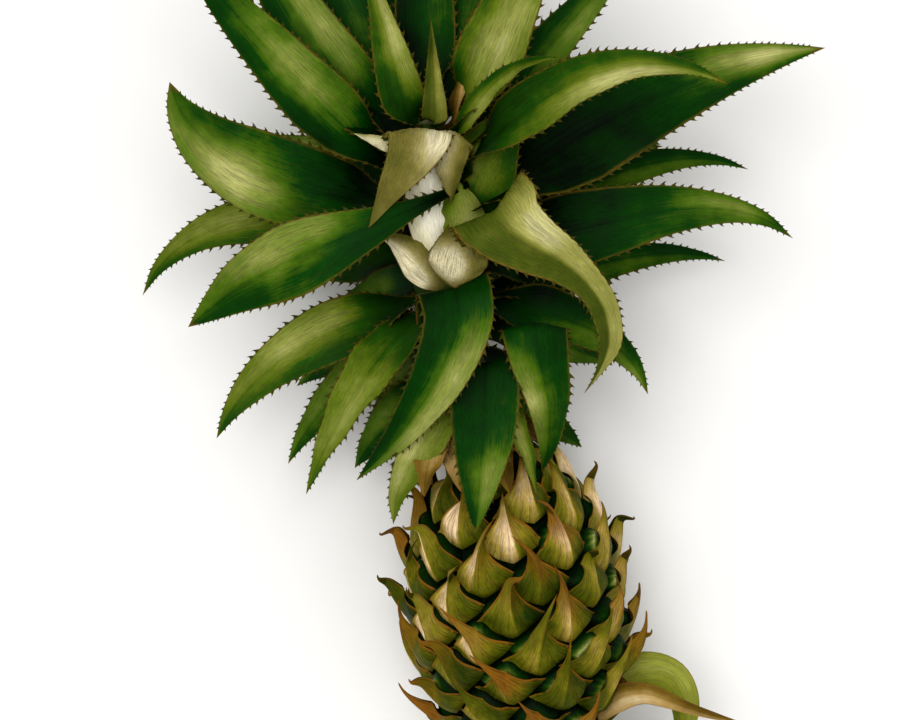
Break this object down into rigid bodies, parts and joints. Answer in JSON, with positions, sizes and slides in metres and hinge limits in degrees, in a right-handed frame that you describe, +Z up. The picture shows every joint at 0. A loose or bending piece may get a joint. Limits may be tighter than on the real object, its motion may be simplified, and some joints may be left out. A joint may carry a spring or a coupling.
{
  "type": "pineapple fruit with leafy crown",
  "caption": "Ripe pineapple fruit with its leafy crown on a short cut stalk, lying on its side; eyes with pointed bracts, spiny-edged channelled leaves.",
  "frame": {"origin": "on the surface the fruit lies on, under the middle of the whole", "axes": "+Z up, +Y from the cut end of the stalk towards the tip of the crown, +X to the right as seen from above with the crown away"},
  "size_m": [0.3448, 0.5302, 0.1741],
  "materials": {
    "rind": "waxy olive and gold fruit rind with green furrows and dry brown bract points",
    "stalk": "matt fibrous green stalk with a pale cut end, and the same stem inside the crown",
    "leaf": "leathery satin green leaf with fine grooves along it and brown spiny edges",
    "pale_leaf": "pale ribbed leaf base, cream to yellow green",
    "dry_leaf": "dry papery brown leaf"
  },
  "bodies": {
    "root": {"stalk": "stalk", "crown_core": "stalk", "fruit": "rind", "leaf_left_1": "leaf", "leaf_left_2": "leaf", "leaf_left_3": "leaf", "leaf_left_4": "leaf", "leaf_left_5": "leaf", "leaf_left_6": "leaf", "leaf_left_7": "leaf", "leaf_left_8": "leaf", "leaf_left_9": "leaf", "leaf_front_1": "leaf", "leaf_front_2": "leaf", "leaf_front_3": "leaf", "leaf_right_1": "leaf", "leaf_right_2": "leaf", "leaf_right_3": "leaf", "leaf_right_4": "leaf", "leaf_right_5": "leaf", "leaf_right_6": "leaf", "leaf_right_7": "leaf", "leaf_heart_1": "pale_leaf", "leaf_heart_2": "pale_leaf", "leaf_heart_3": "pale_leaf", "leaf_heart_4": "pale_leaf", "leaf_heart_5": "pale_leaf", "leaf_top_1": "leaf", "leaf_top_2": "leaf", "leaf_top_3": "leaf", "leaf_top_4": "leaf", "leaf_top_5": "leaf", "leaf_top_6": "leaf", "leaf_top_7": "leaf", "leaf_top_8": "leaf", "leaf_top_9": "leaf", "leaf_top_10": "leaf", "leaf_top_11": "leaf", "leaf_top_12": "leaf", "stalk_leaf_green": "leaf", "stalk_leaf_dry": "dry_leaf", "stalk_leaf_left": "leaf", "stalk_leaf_under_left": "leaf", "stalk_leaf_under_right": "leaf", "leaf_under_1": "leaf", "leaf_under_2": "leaf", "leaf_under_3": "leaf", "leaf_under_4": "leaf", "leaf_under_5": "leaf", "leaf_under_6": "leaf", "leaf_under_7": "leaf", "leaf_under_8": "leaf", "leaf_under_9": "leaf", "leaf_under_10": "leaf", "leaf_under_11": "leaf", "leaf_under_12": "leaf", "leaf_under_13": "leaf", "leaf_under_14": "leaf", "leaf_under_15": "leaf", "leaf_under_16": "leaf"}
  },
  "joints": []
}
